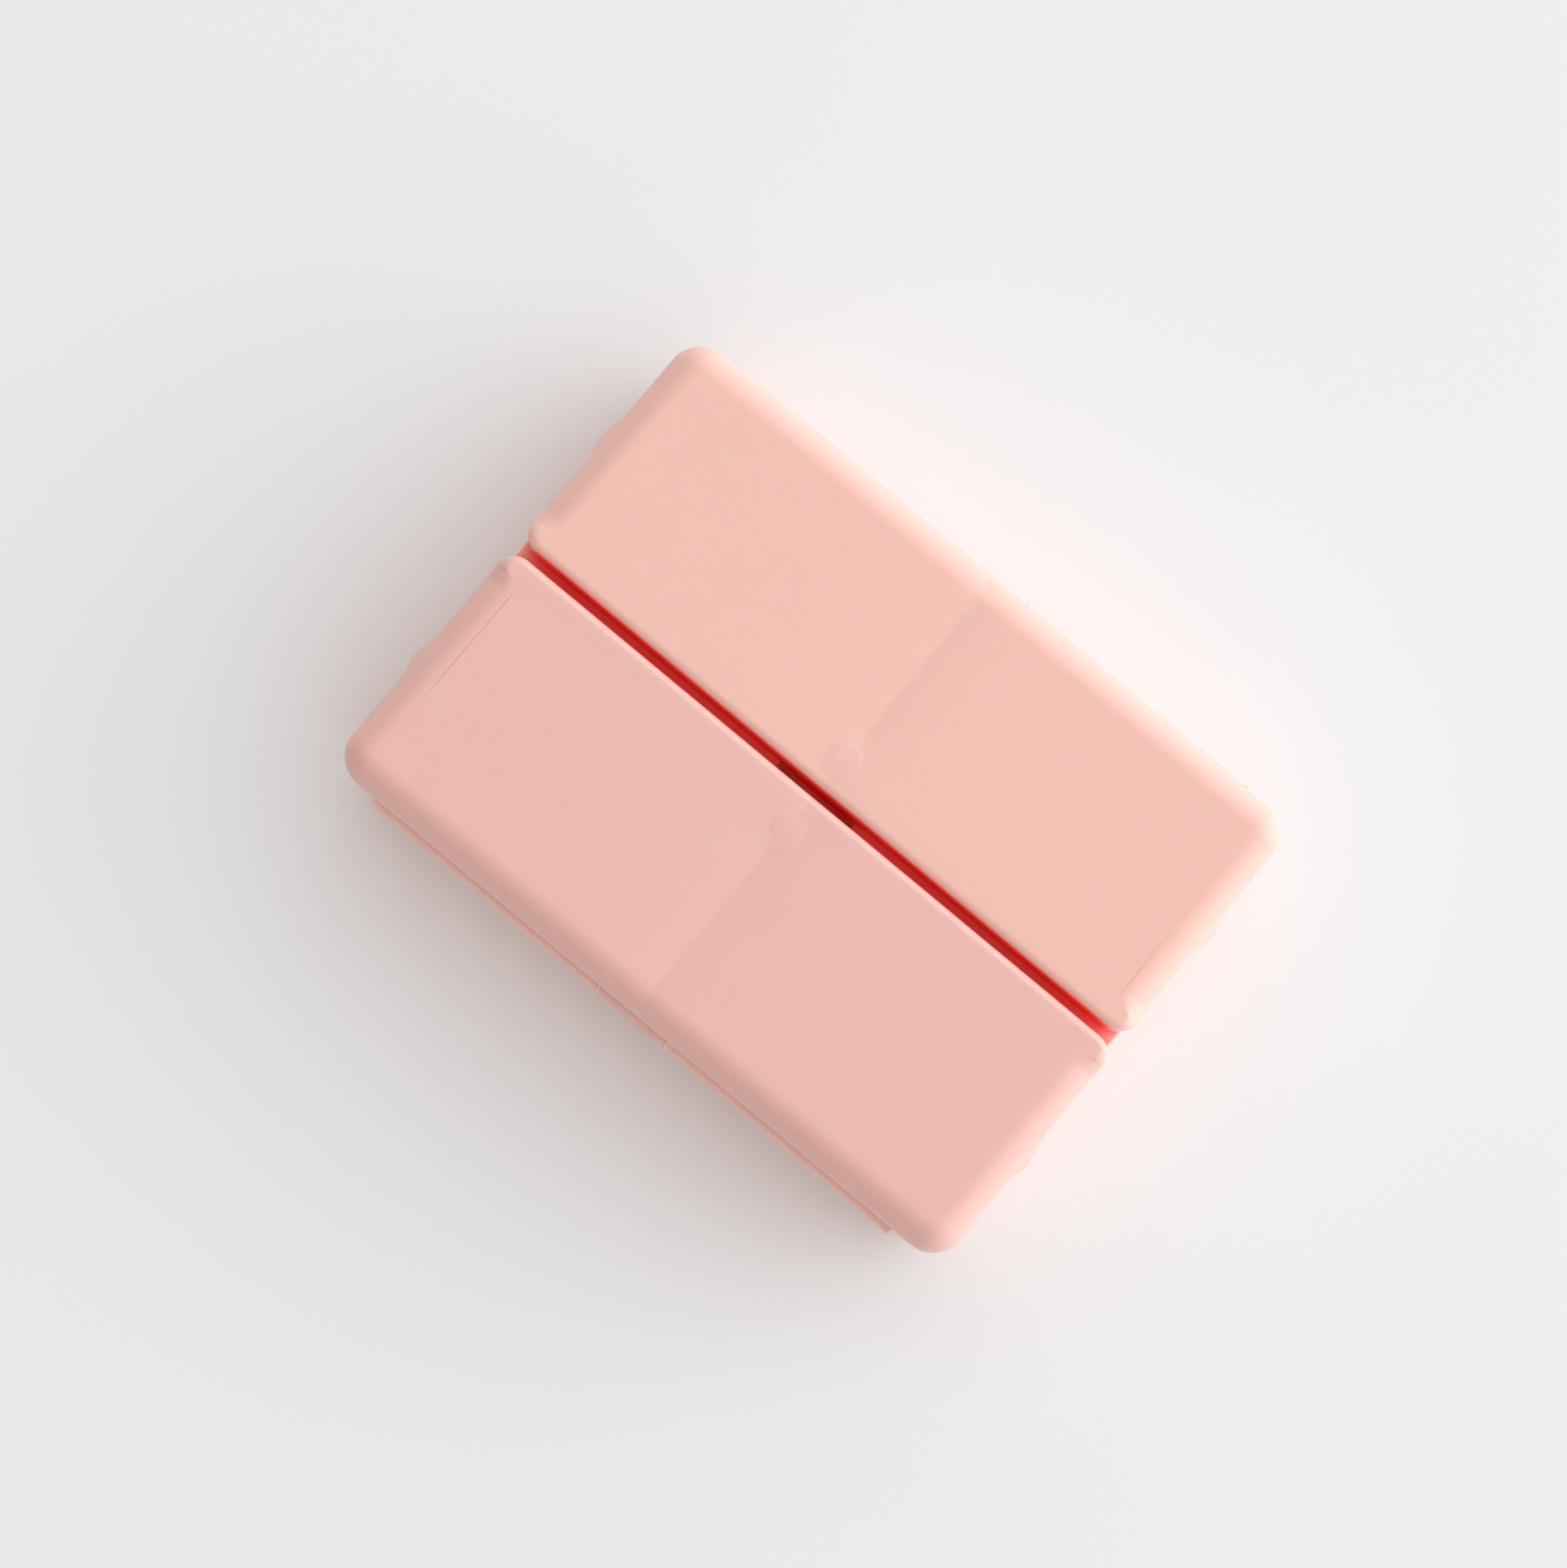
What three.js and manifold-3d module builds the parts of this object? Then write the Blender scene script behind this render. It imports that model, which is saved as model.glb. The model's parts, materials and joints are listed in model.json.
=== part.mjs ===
// Two-bay loaf mould box: a moulded plastic box with two lids that meet along its middle.
// Each lid is hinged on a wire pin along its outer long edge and held shut by a pair of magnets.
// A silicone liner with a loose divider stands in each bay.
// Millimetres. X runs along the box, Y across it, Z up; the origin is under its middle, at the feet.
import * as THREE from "three";
import { mergeVertices } from "three/addons/utils/BufferGeometryUtils.js";
import Module from "manifold-3d";

const wasm = await Module();
wasm.setup();

// Driving dimensions
const HEIGHT = 22; // feet to lid top
const FIT = 0.3; // gap between neighbours that don't move
const GLUE = 0.1; // film under a glued magnet
const OVERLAP = 0.5; // how far a rib, boss or post runs into the part it joins
const BEYOND = 1; // how far a cutting solid runs past what it cuts

// Smoothness
const SEGMENTS = 6; // per quarter round on the large radii
const BEVEL_SEGMENTS = 4;
const DISC_SIDES = 24;
const BAR_SIDES = 16;
const DIP_SIDES = 64;
const WELD = 1e-4;

const LID = {
  length: 95,
  width: 33.6,
  depth: 6.4,
  top: 2,
  wall: 1.6,
  edgeRadius: 3.4, // the three outer top edges
  meetingRadius: 0.8, // the top edge beside the other lid
  cornerRadius: 4.3,
  meetingCornerRadius: 3,
};
const LID_GAP = 1.5; // between the two lids
const LID_BOTTOM = HEIGHT - LID.depth;
const LID_NEAR = LID_GAP / 2;
const LID_FAR = LID_NEAR + LID.width;
const LID_CEILING = HEIGHT - LID.top;

const TAB = { width: 6, reach: 0.9, height: 1.4 };
const RIB = { thickness: 1.2, bottom: 17.3 };

const FOOT = { radius: 3.5, proud: 1, sunk: 0.4, fromEndX: 9, fromEndY: 8.5, edge: 0.4 };
const BOX = {
  length: 94.2,
  width: 67.8,
  wall: 1.8,
  floor: 1.8,
  cornerRadius: 4.2,
  bottomRadius: 2,
  middleWall: 2.4,
};
const BOX_BOTTOM = FOOT.proud;
const BOX_RIM = LID_BOTTOM - FIT;
const BAY_FLOOR = BOX_BOTTOM + BOX.floor;
const BAY = {
  halfLength: BOX.length / 2 - BOX.wall,
  near: BOX.middleWall / 2,
  far: BOX.width / 2 - BOX.wall,
  cornerRadius: 2.4,
};
const MIDDLE_DIP = { radius: 6.3, depth: 4.3 }; // a round scoop in the middle wall

const MAGNET = { radius: 2, lidHeight: 1.8, boxHeight: 1.6, y: 5.5 };
const MAGNET_PLAY = 0.2;
const POST = { halfWidth: 3.4, end: 8.7, top: 14.9, cornerRadius: 2.5 };
const CAP = { radius: 2.5, height: 0.6 };
const MAGNET_HOLE_BOTTOM = POST.top - CAP.height - MAGNET.boxHeight - 2 * MAGNET_PLAY;
const BOSS = { radius: 2.9, bottom: 17.1 };

const LINER = { wall: 1.4, side: 0.2, top: 15.2, cornerRadius: 2, bottomGap: 0.1 };
const DIVIDER = {
  thickness: 1.6,
  play: 0.3,
  top: 15,
  lowCorner: 0.6,
  highCorner: 1.2,
};
const GUIDE = { width: 1, reach: 1, fromEnds: 1 }; // the ribs that hold a divider upright
const PAD = { bottom: 15.5, thickness: 1.3, far: 31.4, cornerRadius: 2 };

const HINGE = {
  y: 33.7,
  z: BOX_RIM + 0.15, // just over the box rim
  knuckle: 1.5,
  bore: 0.9,
  pin: 0.75,
  pinHalfLength: 40.3,
  middleHalf: 4.7, // the lid's knuckle
  inner: 5, // where each box knuckle starts
  outer: 40.5, // and where it ends
  flange: 1.6,
  flangeLength: 0.6,
  clearance: 0.35,
  rimRelief: 1.15,
};

// Finishes
const pinkPlastic = new THREE.MeshStandardMaterial({ color: 0xefbdb0, roughness: 0.55, metalness: 0 });
const pinkSilicone = new THREE.MeshStandardMaterial({ color: 0xf4cfc6, roughness: 0.7, metalness: 0 });
const whiteSilicone = new THREE.MeshStandardMaterial({ color: 0xf3ece8, roughness: 0.75, metalness: 0 });
const nickel = new THREE.MeshStandardMaterial({ color: 0xc9c8c4, roughness: 0.2, metalness: 1 });
const springSteel = new THREE.MeshStandardMaterial({ color: 0xb4b5b8, roughness: 0.35, metalness: 1 });
const clearRubber = new THREE.MeshStandardMaterial({ color: 0xe6ded9, roughness: 0.5, metalness: 0 });

// Geometry to manifold solid and back
function solid(geometry) {
  const bare = geometry.index ? geometry.toNonIndexed() : geometry.clone();
  bare.deleteAttribute("normal");
  bare.deleteAttribute("uv");
  const merged = mergeVertices(bare, WELD);
  return new wasm.Manifold(
    new wasm.Mesh({
      numProp: 3,
      vertProperties: merged.attributes.position.array,
      triVerts: new Uint32Array(merged.index.array),
    }),
  );
}

function piece(name, shape, material) {
  const mesh = shape.getMesh();
  const geometry = new THREE.BufferGeometry();
  geometry.setAttribute("position", new THREE.BufferAttribute(mesh.vertProperties, 3));
  geometry.setIndex(new THREE.BufferAttribute(mesh.triVerts, 1));
  geometry.computeVertexNormals();
  const made = new THREE.Mesh(geometry, material);
  made.name = name;
  return made;
}

// A rectangle with its own radius at each corner: [low Y left, low Y right, high Y right, high Y left]
function roundedRectangle(x0, x1, y0, y1, radii) {
  const [a, b, c, d] = radii;
  const outline = new THREE.Shape();
  outline.moveTo(x0 + a, y0);
  outline.lineTo(x1 - b, y0);
  if (b) outline.absarc(x1 - b, y0 + b, b, -Math.PI / 2, 0);
  outline.lineTo(x1, y1 - c);
  if (c) outline.absarc(x1 - c, y1 - c, c, 0, Math.PI / 2);
  outline.lineTo(x0 + d, y1);
  if (d) outline.absarc(x0 + d, y1 - d, d, Math.PI / 2, Math.PI);
  outline.lineTo(x0, y0 + a);
  if (a) outline.absarc(x0 + a, y0 + a, a, Math.PI, 1.5 * Math.PI);
  return outline;
}

function upright(outline, z0, z1) {
  const settings = { depth: z1 - z0, bevelEnabled: false, curveSegments: SEGMENTS };
  return solid(new THREE.ExtrudeGeometry(outline, settings).translate(0, 0, z0));
}

function block(x0, x1, y0, y1, z0, z1) {
  const geometry = new THREE.BoxGeometry(x1 - x0, y1 - y0, z1 - z0);
  return solid(geometry.translate((x0 + x1) / 2, (y0 + y1) / 2, (z0 + z1) / 2));
}

function disc(radius, x, y, z0, z1) {
  const geometry = new THREE.CylinderGeometry(radius, radius, z1 - z0, DISC_SIDES);
  return solid(geometry.rotateX(Math.PI / 2).translate(x, y, (z0 + z1) / 2));
}

// A round bar on the hinge line
function hingeBar(radius, x0, x1) {
  const geometry = new THREE.CylinderGeometry(radius, radius, x1 - x0, BAR_SIDES);
  return solid(geometry.rotateZ(Math.PI / 2).translate((x0 + x1) / 2, HINGE.y, HINGE.z));
}

// A section drawn in Y and Z, run along X
function alongX(section, x0, x1) {
  const settings = { depth: x1 - x0, bevelEnabled: false, curveSegments: SEGMENTS };
  const turn = new THREE.Matrix4().makeBasis(
    new THREE.Vector3(0, 1, 0),
    new THREE.Vector3(0, 0, 1),
    new THREE.Vector3(1, 0, 0),
  );
  return solid(new THREE.ExtrudeGeometry(section, settings).applyMatrix4(turn).translate(x0, 0, 0));
}

// A section drawn in X and Z, run along Y
function alongY(section, y0, y1) {
  const settings = { depth: y1 - y0, bevelEnabled: false, curveSegments: SEGMENTS };
  const turn = new THREE.Matrix4().makeBasis(
    new THREE.Vector3(1, 0, 0),
    new THREE.Vector3(0, 0, 1),
    new THREE.Vector3(0, -1, 0),
  );
  return solid(new THREE.ExtrudeGeometry(section, settings).applyMatrix4(turn).translate(0, y1, 0));
}

function boxKnuckleSpans() {
  return [
    [-HINGE.outer, -HINGE.inner],
    [HINGE.inner, HINGE.outer],
  ];
}

// The two ends of a box knuckle, each with a thin raised flange
function flangeSpans([start, end]) {
  return [
    [start, start + HINGE.flangeLength],
    [end - HINGE.flangeLength, end],
  ];
}

// Half a box turned over Z makes the other half, because every piece is symmetric about X = 0
function turned(shape) {
  return shape.rotate([0, 0, 180]);
}

function boxShell() {
  const halfLength = BOX.length / 2;
  const halfWidth = BOX.width / 2;
  const inset = BOX.bottomRadius;
  const outline = roundedRectangle(
    -halfLength + inset,
    halfLength - inset,
    -halfWidth + inset,
    halfWidth - inset,
    Array(4).fill(BOX.cornerRadius - inset),
  );
  const rounded = new THREE.ExtrudeGeometry(outline, {
    depth: HEIGHT,
    bevelThickness: inset,
    bevelSize: inset,
    bevelSegments: BEVEL_SEGMENTS,
    curveSegments: SEGMENTS,
  });
  const everything = block(-LID.length, LID.length, -LID.length, LID.length, BOX_BOTTOM, BOX_RIM);
  let shell = solid(rounded.translate(0, 0, BOX_BOTTOM + inset)).intersect(everything);

  const bayOutline = roundedRectangle(
    -BAY.halfLength,
    BAY.halfLength,
    BAY.near,
    BAY.far,
    Array(4).fill(BAY.cornerRadius),
  );
  const bay = upright(bayOutline, BAY_FLOOR, HEIGHT);
  shell = shell.subtract(bay).subtract(turned(bay));

  const { radius, depth } = MIDDLE_DIP;
  const dip = new THREE.CylinderGeometry(radius, radius, 2 * (BAY.near + FIT), DIP_SIDES);
  shell = shell.subtract(solid(dip.translate(0, 0, BOX_RIM - depth + radius)));

  const postOutline = roundedRectangle(
    -POST.halfWidth,
    POST.halfWidth,
    BAY.near - FIT,
    POST.end,
    [0, 0, POST.cornerRadius, POST.cornerRadius],
  );
  const magnetHole = disc(MAGNET.radius + MAGNET_PLAY, 0, MAGNET.y, MAGNET_HOLE_BOTTOM, HEIGHT);
  const capSeat = disc(CAP.radius + MAGNET_PLAY, 0, MAGNET.y, POST.top - CAP.height - MAGNET_PLAY, HEIGHT);
  const post = upright(postOutline, BAY_FLOOR - OVERLAP, POST.top).subtract(magnetHole).subtract(capSeat);
  shell = shell.add(post).add(turned(post));

  let bars = hingeBar(HINGE.knuckle, HINGE.inner, HINGE.outer).add(
    hingeBar(HINGE.knuckle, -HINGE.outer, -HINGE.inner),
  );
  for (const span of boxKnuckleSpans())
    for (const [start, end] of flangeSpans(span)) bars = bars.add(hingeBar(HINGE.flange, start, end));
  const lidKnuckleRoom = hingeBar(HINGE.knuckle + HINGE.clearance, -HINGE.inner, HINGE.inner);
  const cornerRoomRight = hingeBar(HINGE.rimRelief, HINGE.outer, LID.length / 2 + BEYOND);
  const cornerRoomLeft = hingeBar(HINGE.rimRelief, -LID.length / 2 - BEYOND, -HINGE.outer);
  const bore = hingeBar(HINGE.bore, -HINGE.outer - BEYOND, HINGE.outer + BEYOND);
  for (const side of [(shape) => shape, turned]) {
    shell = shell.subtract(side(cornerRoomRight)).subtract(side(cornerRoomLeft));
    shell = shell.add(side(bars)).subtract(side(lidKnuckleRoom)).subtract(side(bore));
  }

  for (const [x, y] of footPlaces()) {
    const seat = disc(FOOT.radius + MAGNET_PLAY, x, y, 0, BOX_BOTTOM + FOOT.sunk + FIT);
    shell = shell.subtract(seat);
  }
  return shell;
}

function footPlaces() {
  const x = BOX.length / 2 - FOOT.fromEndX;
  const y = BOX.width / 2 - FOOT.fromEndY;
  return [
    [-x, -y],
    [x, -y],
    [-x, y],
    [x, y],
  ];
}

function foot(x, y) {
  const height = FOOT.proud + FOOT.sunk;
  const profile = [
    new THREE.Vector2(0, 0),
    new THREE.Vector2(FOOT.radius - FOOT.edge, 0),
    new THREE.Vector2(FOOT.radius, FOOT.edge),
    new THREE.Vector2(FOOT.radius, height),
    new THREE.Vector2(0, height),
  ];
  return solid(new THREE.LatheGeometry(profile, DISC_SIDES).rotateX(Math.PI / 2).translate(x, y, 0));
}

function liner() {
  const halfLength = BAY.halfLength - LINER.side;
  const near = BAY.near + LINER.side;
  const far = BAY.far - LINER.side;
  const bottom = BAY_FLOOR + LINER.bottomGap;
  const outer = roundedRectangle(-halfLength, halfLength, near, far, Array(4).fill(BAY.cornerRadius));
  const inner = roundedRectangle(
    -halfLength + LINER.wall,
    halfLength - LINER.wall,
    near + LINER.wall,
    far - LINER.wall,
    Array(4).fill(LINER.cornerRadius),
  );
  const postRoom = {
    halfWidth: POST.halfWidth + LINER.side,
    end: POST.end + LINER.side,
  };
  const bump = roundedRectangle(
    -postRoom.halfWidth - LINER.wall,
    postRoom.halfWidth + LINER.wall,
    0,
    postRoom.end + LINER.wall,
    [0, 0, POST.cornerRadius, POST.cornerRadius],
  );
  const postHole = roundedRectangle(
    -postRoom.halfWidth,
    postRoom.halfWidth,
    0,
    postRoom.end,
    [0, 0, POST.cornerRadius, POST.cornerRadius],
  );
  const cavity = upright(inner, bottom + LINER.wall, HEIGHT).subtract(upright(bump, 0, HEIGHT + BEYOND));
  let made = upright(outer, bottom, LINER.top).subtract(cavity).subtract(upright(postHole, 0, HEIGHT));

  const slot = DIVIDER.thickness / 2 + DIVIDER.play;
  const bumpEnd = postRoom.end + LINER.wall;
  const innerFar = far - LINER.wall;
  const guideBottom = bottom + GUIDE.fromEnds;
  const guideTop = LINER.top - GUIDE.fromEnds;
  for (const side of [-1, 1]) {
    const [x0, x1] = [side * slot, side * (slot + GUIDE.width)].sort((a, b) => a - b);
    const farGuide = block(x0, x1, innerFar - GUIDE.reach, innerFar + OVERLAP, guideBottom, guideTop);
    const nearGuide = block(x0, x1, bumpEnd - OVERLAP, bumpEnd + GUIDE.reach, guideBottom, guideTop);
    made = made.add(farGuide).add(nearGuide);
  }
  return made;
}

function divider() {
  const half = DIVIDER.thickness / 2;
  const y0 = POST.end + LINER.side + LINER.wall + DIVIDER.play;
  const y1 = BAY.far - LINER.side - LINER.wall - DIVIDER.play;
  const z0 = BAY_FLOOR + LINER.bottomGap + LINER.wall + DIVIDER.play;
  const { lowCorner, highCorner } = DIVIDER;
  const section = roundedRectangle(y0, y1, z0, DIVIDER.top, [lowCorner, lowCorner, highCorner, highCorner]);
  return alongX(section, -half, half);
}

function lidShell() {
  const halfLength = LID.length / 2;
  const across = roundedRectangle(LID_NEAR, LID_FAR, LID_BOTTOM, HEIGHT, [
    0,
    0,
    LID.edgeRadius,
    LID.meetingRadius,
  ]);
  const along = roundedRectangle(-halfLength, halfLength, LID_BOTTOM, HEIGHT, [
    0,
    0,
    LID.edgeRadius,
    LID.edgeRadius,
  ]);
  const plan = roundedRectangle(-halfLength, halfLength, LID_NEAR, LID_FAR, [
    LID.meetingCornerRadius,
    LID.meetingCornerRadius,
    LID.cornerRadius,
    LID.cornerRadius,
  ]);
  let shell = alongX(across, -halfLength, halfLength)
    .intersect(alongY(along, 0, LID_FAR + BEYOND))
    .intersect(upright(plan, 0, HEIGHT + BEYOND));

  const cavity = roundedRectangle(
    -halfLength + LID.wall,
    halfLength - LID.wall,
    LID_NEAR + LID.wall,
    LID_FAR - LID.wall,
    [LID.wall, LID.wall, LID.cornerRadius - LID.wall, LID.cornerRadius - LID.wall],
  );
  shell = shell.subtract(upright(cavity, 0, LID_CEILING));

  const rib = block(
    -RIB.thickness / 2,
    RIB.thickness / 2,
    LID_NEAR + LID.wall / 2,
    LID_FAR - LID.wall / 2,
    RIB.bottom,
    LID_CEILING + OVERLAP,
  );
  const boss = disc(BOSS.radius, 0, MAGNET.y, BOSS.bottom, LID_CEILING + OVERLAP);
  const pocketTop = BOSS.bottom + MAGNET_PLAY + MAGNET.lidHeight + MAGNET_PLAY;
  const pocket = disc(MAGNET.radius + MAGNET_PLAY, 0, MAGNET.y, 0, pocketTop);
  shell = shell.add(rib).add(boss).subtract(pocket);

  for (const span of boxKnuckleSpans()) {
    const [start, end] = span;
    const room = hingeBar(HINGE.knuckle + HINGE.clearance, start - FIT, end + FIT);
    shell = shell.subtract(room);
    for (const [a, b] of flangeSpans(span))
      shell = shell.subtract(hingeBar(HINGE.flange + HINGE.clearance, a - FIT, b + FIT));
  }
  shell = shell.add(hingeBar(HINGE.knuckle, -HINGE.middleHalf, HINGE.middleHalf));
  shell = shell.subtract(hingeBar(HINGE.bore, -HINGE.inner, HINGE.inner));

  const tabY = (LID_NEAR + LID_FAR) / 2;
  for (const end of [-1, 1]) {
    const [x0, x1] = [end * (halfLength - LID.wall / 2), end * (halfLength + TAB.reach)].sort((a, b) => a - b);
    const corner = TAB.reach / 2;
    const tab = roundedRectangle(x0, x1, tabY - TAB.width / 2, tabY + TAB.width / 2, Array(4).fill(corner));
    shell = shell.add(upright(tab, LID_BOTTOM, LID_BOTTOM + TAB.height));
  }
  return shell;
}

function lidPad() {
  const half = LID.length / 2 - LID.wall - FIT;
  const near = LID_NEAR + LID.wall + FIT;
  const outline = roundedRectangle(-half, half, near, PAD.far, Array(4).fill(PAD.cornerRadius));
  return upright(outline, PAD.bottom, PAD.bottom + PAD.thickness);
}

function lidMagnet() {
  const bottom = BOSS.bottom + MAGNET_PLAY;
  return disc(MAGNET.radius, 0, MAGNET.y, bottom, bottom + MAGNET.lidHeight);
}

function boxMagnet() {
  const bottom = MAGNET_HOLE_BOTTOM + GLUE;
  return disc(MAGNET.radius, 0, MAGNET.y, bottom, bottom + MAGNET.boxHeight);
}

function magnetCap() {
  return disc(CAP.radius, 0, MAGNET.y, POST.top - CAP.height, POST.top);
}

function hingePin() {
  return hingeBar(HINGE.pin, -HINGE.pinHalfLength, HINGE.pinHalfLength);
}

// The assembly: the near side is the far side turned half round about Z
const mould = new THREE.Group();
mould.add(piece("box_shell", boxShell(), pinkPlastic));

const footNames = ["near_left_foot", "near_right_foot", "far_left_foot", "far_right_foot"];
footPlaces().forEach(([x, y], index) => {
  mould.add(piece(footNames[index], foot(x, y), clearRubber));
});

const sides = [
  { name: "far", turn: 0 },
  { name: "near", turn: Math.PI },
];
for (const { name, turn } of sides) {
  const half = new THREE.Group();
  half.rotation.z = turn;
  half.add(piece(`${name}_liner`, liner(), pinkSilicone));
  half.add(piece(`${name}_divider`, divider(), whiteSilicone));
  half.add(piece(`${name}_box_magnet`, boxMagnet(), nickel));
  half.add(piece(`${name}_magnet_cap`, magnetCap(), pinkPlastic));
  half.add(piece(`${name}_hinge_pin`, hingePin(), springSteel));
  half.add(piece(`${name}_lid_shell`, lidShell(), pinkPlastic));
  half.add(piece(`${name}_lid_pad`, lidPad(), whiteSilicone));
  half.add(piece(`${name}_lid_magnet`, lidMagnet(), nickel));
  mould.add(half);
}

export default mould;
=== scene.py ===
import json
import math

import bmesh
import bpy
import numpy as np
from mathutils import Matrix, Vector


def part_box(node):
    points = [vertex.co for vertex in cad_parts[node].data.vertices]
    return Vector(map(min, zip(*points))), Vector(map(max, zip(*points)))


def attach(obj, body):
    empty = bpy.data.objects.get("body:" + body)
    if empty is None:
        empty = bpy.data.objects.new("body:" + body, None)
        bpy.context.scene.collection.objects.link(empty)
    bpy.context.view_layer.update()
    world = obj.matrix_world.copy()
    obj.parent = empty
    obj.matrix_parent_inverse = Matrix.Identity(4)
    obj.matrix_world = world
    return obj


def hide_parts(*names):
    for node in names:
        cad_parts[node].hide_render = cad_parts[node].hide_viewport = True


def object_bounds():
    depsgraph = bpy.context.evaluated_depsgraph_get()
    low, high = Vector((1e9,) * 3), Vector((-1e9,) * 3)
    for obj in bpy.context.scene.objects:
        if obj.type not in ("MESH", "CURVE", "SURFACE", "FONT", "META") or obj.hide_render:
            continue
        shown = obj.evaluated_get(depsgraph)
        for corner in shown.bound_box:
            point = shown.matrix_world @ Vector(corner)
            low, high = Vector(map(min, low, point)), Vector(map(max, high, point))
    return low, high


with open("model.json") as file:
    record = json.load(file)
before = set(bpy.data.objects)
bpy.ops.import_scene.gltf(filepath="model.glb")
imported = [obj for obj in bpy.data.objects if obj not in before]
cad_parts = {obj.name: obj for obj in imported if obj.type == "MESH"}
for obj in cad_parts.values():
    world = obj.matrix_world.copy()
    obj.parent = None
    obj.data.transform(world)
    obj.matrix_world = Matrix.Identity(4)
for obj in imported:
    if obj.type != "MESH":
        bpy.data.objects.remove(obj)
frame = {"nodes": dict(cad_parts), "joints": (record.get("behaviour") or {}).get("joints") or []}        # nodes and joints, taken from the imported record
cadLow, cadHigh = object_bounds()
print("frame loaded:", len(frame["nodes"]), "nodes")

mm = 0.001
halfTurn = Matrix.Rotation(math.pi, 4, "Z")      # the near side is the far side turned half round


# small helpers

def linearColour(hexText):
    channels = [int(hexText[i:i + 2], 16) / 255 for i in (1, 3, 5)]
    linear = [c / 12.92 if c <= 0.04045 else ((c + 0.055) / 1.055) ** 2.4 for c in channels]
    return (*linear, 1.0)


def addNode(tree, kind, settings=None, links=None):
    node = tree.nodes.new(kind)
    for key, value in (settings or {}).items():
        if isinstance(key, int) or key in node.inputs:
            node.inputs[key].default_value = value
        else:
            setattr(node, key, value)
    for key, source in (links or {}).items():
        tree.links.new(source, node.inputs[key])
    return node


def perMetre(sizeMm):
    return 1 / (sizeMm * mm)      # the noise scale whose grain is that many millimetres


def boxMm(node):
    low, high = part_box(node)
    return low / mm, high / mm


def arc(centreA, centreB, radius, startDeg, endDeg, steps):
    angles = np.radians(np.linspace(startDeg, endDeg, steps + 1))
    return [(centreA + radius * math.cos(t), centreB + radius * math.sin(t)) for t in angles]


def stations(low, high, step, extra=()):
    # even places between low and high, with the extra ones kept where they are
    kept = [p for p in sorted(extra) if low < p < high]
    count = max(2, round((high - low) / step))
    even = [float(p) for p in np.linspace(low, high, count + 1)[1:-1]]
    return sorted(kept + [p for p in even if all(abs(p - q) > step * 0.45 for q in kept)])


# A closed outline is four sides that meet at the middle of each rounded corner. Each side is a list of
# (point, outward direction), and opposite sides hold the same number, so that a flat patch can fill it.

def cornerRun(centre, radius, startDeg, endDeg, steps):
    angles = np.radians(np.linspace(startDeg, endDeg, steps + 1))
    facings = [(math.cos(t), math.sin(t)) for t in angles]
    return [((centre[0] + radius * fx, centre[1] + radius * fy), (fx, fy)) for fx, fy in facings]


def roundedOutline(x0, x1, y0, y1, radii, step=3.0, extraX=(), extraY=(), halfArc=4):
    lowLeft, lowRight, highRight, highLeft = radii
    xs = stations(x0 + max(lowLeft, highLeft), x1 - max(lowRight, highRight), step, extraX)
    ys = stations(y0 + max(lowLeft, lowRight), y1 - max(highLeft, highRight), step, extraY)
    corners = [
        ((x0 + lowLeft, y0 + lowLeft), lowLeft),
        ((x1 - lowRight, y0 + lowRight), lowRight),
        ((x1 - highRight, y1 - highRight), highRight),
        ((x0 + highLeft, y1 - highLeft), highLeft),
    ]
    straights = [
        [((x, y0), (0, -1)) for x in xs],
        [((x1, y), (1, 0)) for y in ys],
        [((x, y1), (0, 1)) for x in reversed(xs)],
        [((x0, y), (-1, 0)) for y in reversed(ys)],
    ]
    sides = []
    for i, straight in enumerate(straights):
        (centreA, radiusA), (centreB, radiusB) = corners[i], corners[(i + 1) % 4]
        start = 225 + 90 * i
        leaving = cornerRun(centreA, radiusA, start, start + 45, halfArc)
        arriving = cornerRun(centreB, radiusB, start + 45, start + 90, halfArc)
        sides.append(leaving + straight + arriving)
    return sides


def ringOf(sides):
    run = [item for side in sides for item in side[:-1]]
    return np.array([p for p, _ in run]), np.array([f for _, f in run])


def ringLoft(name, sides, steps):
    # steps are (inset from the outline, height), each a number or one value for every ring point
    points, facings = ringOf(sides)
    count = len(points)
    verts, faces = [], []
    for inset, height in steps:
        inset, height = np.broadcast_to(inset, count), np.broadcast_to(height, count)
        flat = points - facings * inset[:, None]
        verts += [(x, y, z) for (x, y), z in zip(flat, height)]
    for level in range(len(steps) - 1):
        low, high = level * count, (level + 1) * count
        for i in range(count):
            j = (i + 1) % count
            faces.append((low + i, low + j, high + j, high + i))
    for level in (0, len(steps) - 1):
        fillPatch(verts, faces, [len(side) - 1 for side in sides], level * count)
    return meshPiece(name, verts, faces)


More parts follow.
